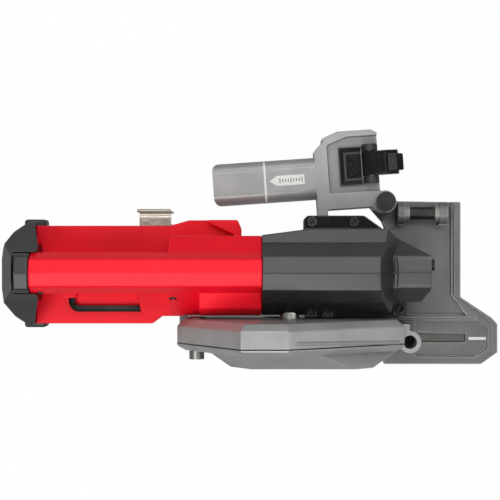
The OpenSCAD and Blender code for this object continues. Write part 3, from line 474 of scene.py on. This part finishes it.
# %% Finish the inside parts
kept = [name for name in nodes if name not in soft and name != "plunge_spring"]
for name in kept:
    nodes[name].data.materials.clear()
    nodes[name].data.materials.append(finishes[slot_of[name]])
print(len(kept), "CAD parts keep their mesh")

# %% [markdown]
# ## The plunge spring
# A coil spring is one round wire along a helix. A circle swept by the spin operator, with a small lift at
# each step, is exactly that, and its ends are closed with faces. A new circle lies flat, so it is stood
# upright first.

# %% Wind the spring
def whole(bm):
    """All the points, edges and faces of a bmesh, as its operators ask for them."""
    return bm.verts[:] + bm.edges[:] + bm.faces[:]


upright = Matrix.Rotation(math.pi / 2, 4, "X")
spring_low, spring_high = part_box("plunge_spring")
wire_r, wire_sides = 1.0 * MM, 12
turns, steps_per_turn = 5, 28
coil_r = (spring_high.x - spring_low.x) / 2 - wire_r
rise = spring_high.z - spring_low.z - 2 * wire_r
centre = (spring_low + spring_high) / 2
bm = bmesh.new()
bmesh.ops.create_circle(bm, segments=wire_sides, radius=wire_r, cap_ends=True)
wire_start = Matrix.Translation((centre.x + coil_r, centre.y, spring_low.z + wire_r))
bmesh.ops.transform(bm, matrix=wire_start @ upright, verts=bm.verts)
steps = turns * steps_per_turn
bmesh.ops.spin(bm, geom=whole(bm), cent=centre, axis=(0, 0, 1), dvec=(0, 0, rise / steps),
               angle=2 * math.pi * turns, steps=steps)
bmesh.ops.recalc_face_normals(bm, faces=bm.faces)
for face in bm.faces:
    face.smooth = len(face.verts) == 4
spring_mesh = bpy.data.meshes.new("spring_coil")
bm.to_mesh(spring_mesh)
bm.free()
spring = place_piece("spring_coil", spring_mesh, "base", slot_of["plunge_spring"])
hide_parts("plunge_spring")
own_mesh(spring)
print("spring of", turns, "turns,", len(spring.data.polygons), "faces")

# %% [markdown]
# ## Helpers for the small trims
# Trims are flat plates, blocks and round bars. Each starts from one bmesh shape and ends with a bevel, so a
# few short functions make them all. Sizes are in millimetres here, because a trim is measured with a caliper.

# %% Plate, block and rod
def plate(bm, outline, low, high):
    """Adds a flat plate: its outline as one face, extruded from one height to the other."""
    sheet = bm.faces.new([bm.verts.new((x * MM, y * MM, low * MM)) for x, y in outline])
    grown = bmesh.ops.extrude_face_region(bm, geom=[sheet])["geom"]
    lifted = [part for part in grown if isinstance(part, bmesh.types.BMVert)]
    bmesh.ops.translate(bm, verts=lifted, vec=(0, 0, (high - low) * MM))


def block(bm, low, high):
    """Adds a box between two corners."""
    low, high = Vector(low) * MM, Vector(high) * MM
    stretch = Matrix.Diagonal((*(high - low), 1.0))
    bmesh.ops.create_cube(bm, size=1.0, matrix=Matrix.Translation((low + high) / 2) @ stretch)


def rod(bm, start, end, radius, sides=24):
    """Adds a round bar from one point to another."""
    start, end = Vector(start) * MM, Vector(end) * MM
    turn = (end - start).to_track_quat("Z", "Y").to_matrix().to_4x4()
    bmesh.ops.create_cone(bm, cap_ends=True, segments=sides, radius1=radius * MM, radius2=radius * MM,
                          depth=(end - start).length, matrix=Matrix.Translation((start + end) / 2) @ turn)


print("plate, block and rod are ready")

# %% The step that makes a piece
ROUNDED_FROM, CREASED_FROM = math.radians(35), math.radians(40)


def trim(name, bm, body, slot, soft_mm=0.0, at=Matrix(), finish=None):
    """Rounds the edges of a finished bmesh, puts it in place and makes it a piece."""
    bmesh.ops.recalc_face_normals(bm, faces=bm.faces)
    if soft_mm:
        sharp = [edge for edge in bm.edges if edge.calc_face_angle(0.0) > ROUNDED_FROM]
        bmesh.ops.bevel(bm, geom=sharp, offset=soft_mm * MM, affect="EDGES", segments=3, profile=0.5,
                        material=-1, clamp_overlap=True)
    bmesh.ops.transform(bm, matrix=at, verts=bm.verts)
    mesh = bpy.data.meshes.new(name)
    bm.to_mesh(mesh)
    bm.free()
    mesh.shade_smooth()
    mesh.set_sharp_from_angle(angle=CREASED_FROM)
    piece = place_piece(name, mesh, body, slot, finish)
    piece.modifiers.new("flat faces shade flat", "WEIGHTED_NORMAL").keep_sharp = True
    return piece


print("trim function ready")

# %% [markdown]
# ## The arm's own frame
# The arm lies a few degrees askew, so its trims are easier to measure along its tube than along the tool.
# They are drawn in a frame that starts at the arm's pivot, and one matrix carries them all into place.

# %% The arm's frame
arm_angle = math.radians(3.9)
arm_pivot = next(Vector(joint["pos_m"]) for joint in frame["joints"] if joint["name"] == "arm_swing")
arm_place = Matrix.Translation((arm_pivot.x, arm_pivot.y, 0)) @ Matrix.Rotation(arm_angle, 4, "Z")
print("arm frame at", [round(c * 1000, 1) for c in arm_place.translation])

# %% [markdown]
# ## Printed marks
# The arm tube has a white ring to measure from and a pale arrow plate that points at it, and the base has a
# white line at the cut. Print is a film of paint, so each is a thin real layer and not a picture.
# The ring has to follow the rounded tube, so it is a slice of the tube itself: two cuts, then a skin.

# %% A skin over a slice of a part
film = 0.15


def slice_skin(node, axis, low, high, place=Matrix()):
    """Skin over the slice of a CAD node that lies between two levels along an axis of a place."""
    bm = bmesh.new()
    bm.from_mesh(nodes[node].data)
    bmesh.ops.remove_doubles(bm, verts=bm.verts, dist=SAME_POINT)
    bmesh.ops.transform(bm, matrix=place.inverted(), verts=bm.verts)
    for level, side in ((low, -1), (high, 1)):
        bmesh.ops.bisect_plane(bm, geom=whole(bm), plane_co=axis * level * MM, plane_no=axis * side,
                               clear_outer=True)
    bmesh.ops.solidify(bm, geom=bm.faces[:], thickness=-film * MM)
    return bm


print("a skin is", film, "mm thick")

# %% The ring round the tube
ring_at, ring_half = -98.5, 0.8
bm = slice_skin("arm_casting", Vector((1, 0, 0)), ring_at - ring_half, ring_at + ring_half, arm_place)
ring = trim("tube_ring_line", bm, "arm", "white_print", at=arm_place)
print("ring line of", len(ring.data.polygons), "faces")

# %% The arrow plate
tube_top, tube_mid = 35.0, 23.4
arrow_tip, arrow_neck, arrow_end, arrow_half = -95.1, -88.5, -65.6, 4.2
arrow_sink, arrow_rise = 0.1, 0.3
near_edge, far_edge = tube_mid - arrow_half, tube_mid + arrow_half
arrow = [(arrow_tip, tube_mid), (arrow_neck, near_edge), (arrow_end, near_edge),
         (arrow_end, far_edge), (arrow_neck, far_edge)]
bm = bmesh.new()
plate(bm, arrow, tube_top - arrow_sink, tube_top + arrow_rise)
trim("arrow_plate", bm, "arm", "white_print", at=arm_place)
print("arrow plate", round(arrow_end - arrow_tip, 1), "mm long")

# %% Plain ticks on the plate
tick_count, tick_first, tick_pitch, tick_width = 9, -86.5, 2.3, 0.7
tick_long, tick_short, long_every = 4.2, 2.6, 4
tick_low, tick_high = tube_top + 0.25, tube_top + 0.36
bm = bmesh.new()
for step in range(tick_count):
    x = tick_first + tick_pitch * step
    half = (tick_long if step % long_every == 0 else tick_short) / 2
    block(bm, (x, tube_mid - half, tick_low), (x + tick_width, tube_mid + half, tick_high))
trim("arrow_plate_ticks", bm, "arm", "black_plastic", at=arm_place)
print(tick_count, "ticks,", tick_pitch, "mm apart")

# %% The cut line on the base
line_low, line_high = (60.6, -50.2, 5.9), (75.5, -47.8, 6.2)
bm = bmesh.new()
block(bm, line_low, line_high)
trim("cut_line", bm, "base", "white_print")
print("cut line", round(line_high[0] - line_low[0], 1), "mm long")

# %% [markdown]
# ## Trims of the guard and base
# A cast bead runs down the front slope of the guard, where the mould has its rib. A dark strip at the floor
# of the sight slot is painted shade in the slot. A thin black gasket shows as a line where the guard's halves
# meet.
# It has to follow that rim, so it is a slice of the guard cover, made like the ring on the tube.

# %% Bead, and the sight slot's strip of painted shade
bead_top, bead_foot, bead_radius = (-92, -43.2, 161.6), (-9, -46.2, 100.9), 1.4
bm = bmesh.new()
rod(bm, bead_top, bead_foot, bead_radius)
trim("guard_bead", bm, "base", "cast_aluminium", soft_mm=0.25)
# A dark strip as painted shade at the floor of the sight slot.
shade_strip_low, shade_strip_high = (16.2, -52.0, 2.0), (57.6, -45.2, 3.4)
bm = bmesh.new()
block(bm, shade_strip_low, shade_strip_high)
trim("sight_slot_shade_strip", bm, "base", "dark_steel", soft_mm=0.2, finish=own_finish["sight_slot_shade_strip"])
print("guard bead and sight strip")

# %% The gasket line of the guard
gasket_from, gasket_to = 0.8, 0.05
seam_level = guard_seam[1] / MM
bm = slice_skin("guard_cover", Vector((0, 1, 0)), seam_level - gasket_from, seam_level - gasket_to)
gasket = trim("guard_gasket", bm, "base", "gloss_black")
print("gasket of", len(gasket.data.polygons), "faces")

# %% [markdown]
# ## The tray and its latch well
# The floor of the arm's tray is a thin liner in a darker grey, painted shade in the recess, and its edge
# shows as a fine line. Behind the lever sits a black well with sloping sides and a polished floor. One box
# gives the well: its top is inset for the rim, inset again and pushed down for the slopes, and cut off where
# the lever begins.

# %% The tray's liner, a darker grey as painted shade
tray = [(-44.3, 10.7), (-3.6, 10.7), (-3.6, 55.3), (-27.8, 55.3), (-44.3, 49.4)]
tray_low, tray_high = 29.9, 30.2
bm = bmesh.new()
plate(bm, tray, tray_low, tray_high)
# Liner in a darker grey: painted shade in the tray's recess.
trim("tray_floor_shade", bm, "arm", "cast_aluminium", at=arm_place, finish=own_finish["tray_floor_shade"])
print("tray liner", round(tray_high - tray_low, 1), "mm thick")

# %% The well
well_low, well_high, well_end = Vector((-36, 15.5, 29.5)), Vector((4, 47.5, 33.5)), -17.3
rim, slope, depth = 1.0, 5.0, 3.2
bm = bmesh.new()
block(bm, well_low, well_high)
top = max(bm.faces, key=lambda face: face.calc_center_median().z)
bmesh.ops.inset_region(bm, faces=[top], thickness=rim * MM)
bmesh.ops.inset_region(bm, faces=[top], thickness=slope * MM, depth=-depth * MM)
bmesh.ops.bisect_plane(bm, geom=whole(bm), plane_co=(well_end * MM, 0, 0), plane_no=(1, 0, 0),
                       clear_outer=True)
bmesh.ops.holes_fill(bm, edges=[edge for edge in bm.edges if edge.is_boundary])
well = trim("latch_well", bm, "arm", "black_plastic", at=arm_place)
print("latch well of", len(well.data.polygons), "faces")

# %% The well's polished floor
sheet_sink, sheet_rise = 0.1, 0.2
inset, bottom = rim + slope, well_high.z - depth
sheet_low = (well_low.x + inset, well_low.y + inset, bottom - sheet_sink)
sheet_high = (well_end - sheet_sink, well_high.y - inset, bottom + sheet_rise)
bm = bmesh.new()
block(bm, sheet_low, sheet_high)
trim("latch_well_floor", bm, "arm", "gloss_black", at=arm_place)
print("well floor at", round(bottom + sheet_rise, 1), "mm")

# %% [markdown]
# ## The lever and its cheeks
# Two cheeks carry the lever's pin and are closed with black caps, each a round bar on a block. The lever has
# a rail along each edge and a ribbed pad for the thumb. Rails and pad are drawn from the side, as a maker
# would cut them from sheet, and the profile is then stood upright.

# %% Caps of the two cheeks
pin_x, pin_z, cheek_radius = -10, 36.5, 6.4
cheeks = ((16.3, 22.0), (43.0, 48.7))
bm = bmesh.new()
for near, far in cheeks:
    block(bm, (pin_x - cheek_radius, near, tray_low), (pin_x + cheek_radius, far, pin_z))
    rod(bm, (pin_x, near, pin_z), (pin_x, far, pin_z), cheek_radius, sides=48)
trim("cheek_caps", bm, "arm", "black_plastic", soft_mm=0.5, at=arm_place)
print(len(cheeks), "cheek caps")

# %% Rails along the lever
lever_rail = [(-8.5, 42.8), (-8.5, 44.2), (2, 45.8), (12.2, 41.7), (12.9, 39.6), (11.4, 40.2), (2, 44.2)]
rail_places, rail_width = (22.5, 41.0), 1.5
bm = bmesh.new()
for place in rail_places:
    plate(bm, lever_rail, -place - rail_width, -place)
trim("lever_rails", bm, "lever", "gloss_black", soft_mm=0.4, at=arm_place @ upright)
print(len(rail_places), "lever rails")

# %% Thumb pad and its ribs
pad = [(3.6, 43.6), (4.0, 45.3), (11.0, 42.5), (11.2, 40.6)]
pad_near, pad_far = 25.4, 39.6
bm = bmesh.new()
plate(bm, pad, -pad_far, -pad_near)
trim("lever_pad", bm, "lever", "black_plastic", soft_mm=0.4, at=arm_place @ upright)
pad_ribs, rib_radius, rib_inset = ((5.0, 44.7), (7.4, 43.7), (9.8, 42.8)), 0.7, 0.4
bm = bmesh.new()
for x, z in pad_ribs:
    rod(bm, (x, pad_near + rib_inset, z), (x, pad_far - rib_inset, z), rib_radius, sides=16)
trim("lever_pad_ribs", bm, "lever", "black_plastic", soft_mm=0.2, at=arm_place)
print("thumb pad with", len(pad_ribs), "ribs")

# %% [markdown]
# ## Cap, flange plate, key clip and hook lip
# The arm bolt is closed with a flat cap, the flange of the gear case carries a gloss black seal plate under
# its screw heads, and a small red clip on the shelf keeps the short leg of the hex key from lifting. The free
# end of the belt hook is rolled into a round lip, so that it slides over a belt.

# %% Cap of the arm bolt
cap_radius, cap_sink, cap_rise = 8.0, 0.3, 0.5
bolt_low, bolt_high = (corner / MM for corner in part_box("arm_bolt"))
bolt_mid = (bolt_low + bolt_high) / 2
cap_low = (bolt_mid.x, bolt_mid.y, bolt_high.z - cap_sink)
cap_high = (bolt_mid.x, bolt_mid.y, bolt_high.z + cap_rise)
bm = bmesh.new()
rod(bm, cap_low, cap_high, cap_radius, sides=48)
trim("arm_bolt_cap", bm, "base", "dark_steel", soft_mm=0.35)
print("bolt cap at", [round(c, 1) for c in cap_high])

# %% Seal plate of the flange
seal = [(-82.4, 44.2), (-22.6, 44.2), (-35.3, 53.4), (-79.8, 53.4), (-82.4, 50.8)]
seal_low, seal_high = 83.9, 84.5
bm = bmesh.new()
plate(bm, seal, seal_low, seal_high)
trim("flange_seal_plate", bm, "saw", "gloss_black", soft_mm=0.2)
print("seal plate", round(seal_high - seal_low, 1), "mm thick")

# %% Key clip, a profile across the tool that runs along it
across = Matrix(((0, 0, 1, 0), (1, 0, 0, 0), (0, 1, 0, 0), (0, 0, 0, 1)))
clip = [(-6, 47.5), (-6, 58.2), (-12.6, 58.2), (-12.6, 55.4), (-9.2, 55.4), (-9.2, 47.5)]
clip_rear, clip_front = -278, -268.2
bm = bmesh.new()
plate(bm, clip, clip_rear, clip_front)
trim("key_clip", bm, "saw", "red_shell", soft_mm=0.6, at=across)
print("key clip", round(clip_front - clip_rear, 1), "mm wide")

# %% Lip of the belt hook
hook_low, hook_high = (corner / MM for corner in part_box("belt_hook"))
lip_radius, lip_reach, lip_short, lip_sink = 1.5, 5.0, 2.5, 0.6
lip_y, lip_z = hook_high.y + lip_radius - lip_sink, hook_low.z + lip_radius
bm = bmesh.new()
rod(bm, (hook_low.x - lip_reach, lip_y, lip_z), (hook_high.x - lip_short, lip_y, lip_z), lip_radius)
trim("hook_lip", bm, "saw", "nickel_sheet", soft_mm=0.5)
print("hook lip", 2 * lip_radius, "mm thick")

# %% [markdown]
# ## Fairings
# The red shell bulges over the side of the motor, next to the guard: a shallow slope and a steep lip,
# drawn as a profile and extruded along the motor. The nose of the gear case has a round rib where it meets
# the case, made of two rods that follow the roof of the nose.

# %% Motor fairing
bulge = [(-7.2, 104.3), (-19.6, 99.6), (-25.6, 88), (-25.8, 73), (-24, 72), (-18, 84), (-7.2, 100)]
fairing_rear, fairing_front = -166, -117
bm = bmesh.new()
plate(bm, bulge, fairing_rear, fairing_front)
trim("motor_fairing", bm, "saw", "red_shell", soft_mm=0.8, at=across)
print("motor fairing", fairing_front - fairing_rear, "mm long")

# %% Nose rib
nose_x, nose_radius = -8.8, 2.8
ridge, feet = (nose_x, 8.5, 76.6), ((nose_x, 21.5, 73.2), (nose_x, -4.0, 73.2))
bm = bmesh.new()
for foot in feet:
    rod(bm, ridge, foot, nose_radius)
trim("nose_rib", bm, "saw", "black_casting", soft_mm=0.5)
print("nose rib of", len(feet), "rods")

# %% [markdown]
# ## The studio
# The photograph is a catalogue picture: white ground, broad soft light, no hard shadow. A large pale floor
# takes a faint shadow. It lies lower than the base, because the saw dips below its base when it plunges, and
# a tool held over the ground casts a wider, softer shadow. For the camera the floor and the surroundings read
# as white. Reflections see only part of that white, so that steep black facets mirror a dim room and stay
# dark, and all other light meets the true pale grey.

# %% How white a background looks
MIRROR_SHARE = 0.25


def white_share(tree, direct_share):
    """How much of a background is plain white: nearly all for the camera, a part in metal and glass."""
    path = add(tree, "LightPath")
    bounced = add(tree, "Math", operation="MAXIMUM",
                  links={0: path.outputs["Is Glossy Ray"], 1: path.outputs["Is Transmission Ray"]})
    dimmed = add(tree, "Math", {1: MIRROR_SHARE}, {0: bounced.outputs[0]}, operation="MULTIPLY")
    direct = add(tree, "Math", {1: direct_share}, {0: path.outputs["Is Camera Ray"]}, operation="MULTIPLY")
    larger = add(tree, "Math", links={0: direct.outputs[0], 1: dimmed.outputs[0]}, operation="MAXIMUM")
    return larger.outputs[0]


print("reflections see", MIRROR_SHARE, "of the white")

# %% The floor
floor_drop, floor_reach = 0.125, 4.0
floor_share, floor_white = 0.93, 1.05
floor_mesh = bpy.data.meshes.new("studio_floor")
bm = bmesh.new()
bmesh.ops.create_grid(bm, x_segments=1, y_segments=1, size=floor_reach)
bmesh.ops.translate(bm, verts=bm.verts, vec=(0, 0, cad_box[0].z - floor_drop))
bm.to_mesh(floor_mesh)
bm.free()
floor = bpy.data.objects.new("studio_floor", floor_mesh)
bpy.context.scene.collection.objects.link(floor)
floor_paint = bpy.data.materials.new("matt white floor paint")
floor_paint.use_nodes = True
tree = floor_paint.node_tree
tree.nodes.clear()
matt = add(tree, "BsdfDiffuse", {"Color": linear("#9C9C9C")})
white = add(tree, "Emission", {"Color": (1, 1, 1, 1), "Strength": floor_white})
mixed = add(tree, "MixShader",
            links={0: white_share(tree, floor_share), 1: matt.outputs[0], 2: white.outputs[0]})
add(tree, "OutputMaterial", links={"Surface": mixed.outputs[0]})
floor_mesh.materials.append(floor_paint)
print("floor", floor_drop, "m below the base")

# %% The surroundings
room_strength = 0.2
world = bpy.data.worlds.new("studio")
bpy.context.scene.world = world
world.use_nodes = True
tree = world.node_tree
tree.nodes.clear()
room_light = add(tree, "Background", {"Color": linear("#F4F4F4"), "Strength": room_strength})
backdrop = add(tree, "Background", {"Color": (1, 1, 1, 1), "Strength": 1.0})
mixed = add(tree, "MixShader",
            links={0: white_share(tree, 1.0), 1: room_light.outputs[0], 2: backdrop.outputs[0]})
add(tree, "OutputWorld", links={"Surface": mixed.outputs[0]})
print("surroundings are white to the camera, and light the tool at", room_strength)

# %% [markdown]
# ## Light and camera
# Four softboxes light the tool: a strong key beside the guard, a weaker fill and a low rim light on the arm's
# side, and one at the nose. None hangs straight above, where it would mirror in every flat top face.
# The camera looks straight down on the tool from about 1.1 m above its mid height, as the photograph does.
# A 99 mm lens on a 36 mm sensor then sees 400 mm across, which is what the outline of the tool gives.

# %% Softboxes
def softbox(name, at, aim, size, watts):
    """Rectangular area light at a place, turned to a point, hidden from the camera."""
    light = bpy.data.lights.new(name, "AREA")
    light.shape = "RECTANGLE"
    light.size, light.size_y = size
    light.energy = watts
    lamp = bpy.data.objects.new(name, light)
    lamp.location = at
    lamp.rotation_mode = "QUATERNION"
    lamp.rotation_quaternion = (Vector(aim) - Vector(at)).to_track_quat("-Z", "Y")
    lamp.visible_camera = False
    bpy.context.scene.collection.objects.link(lamp)


middle = (cad_box[0] + cad_box[1]) / 2
softboxes = {
    "softbox_key": ((-0.28, -0.60, 1.25), (1.4, 0.5), 13),
    "softbox_fill": ((0.05, 0.45, 1.35), (1.2, 0.4), 5),
    "softbox_rim": ((-0.1, 1.1, 0.8), (1.2, 0.4), 4),
    "softbox_end": ((1.05, -0.1, 0.8), (0.4, 0.9), 2),
}
for name, (away, size, watts) in softboxes.items():
    softbox(name, middle + Vector(away), middle, size, watts)
print(len(softboxes), "softboxes")

# %% Camera
camera = bpy.data.objects.new("camera", bpy.data.cameras.new("camera"))
camera.data.sensor_width = 36
camera.data.lens = 99
camera.location = (-0.126, 0.0265, 1.180)
bpy.context.scene.collection.objects.link(camera)
bpy.context.scene.camera = camera
bpy.context.scene.view_settings.view_transform = "Standard"
print("camera at", [round(c, 3) for c in camera.location])

# %% [markdown]
# ## The CAD box
# The box of the CAD frame is printed, in millimetres.

# %% Print the CAD box
print("CAD box", [round(v * 1000, 1) for c in cad_box for v in c])
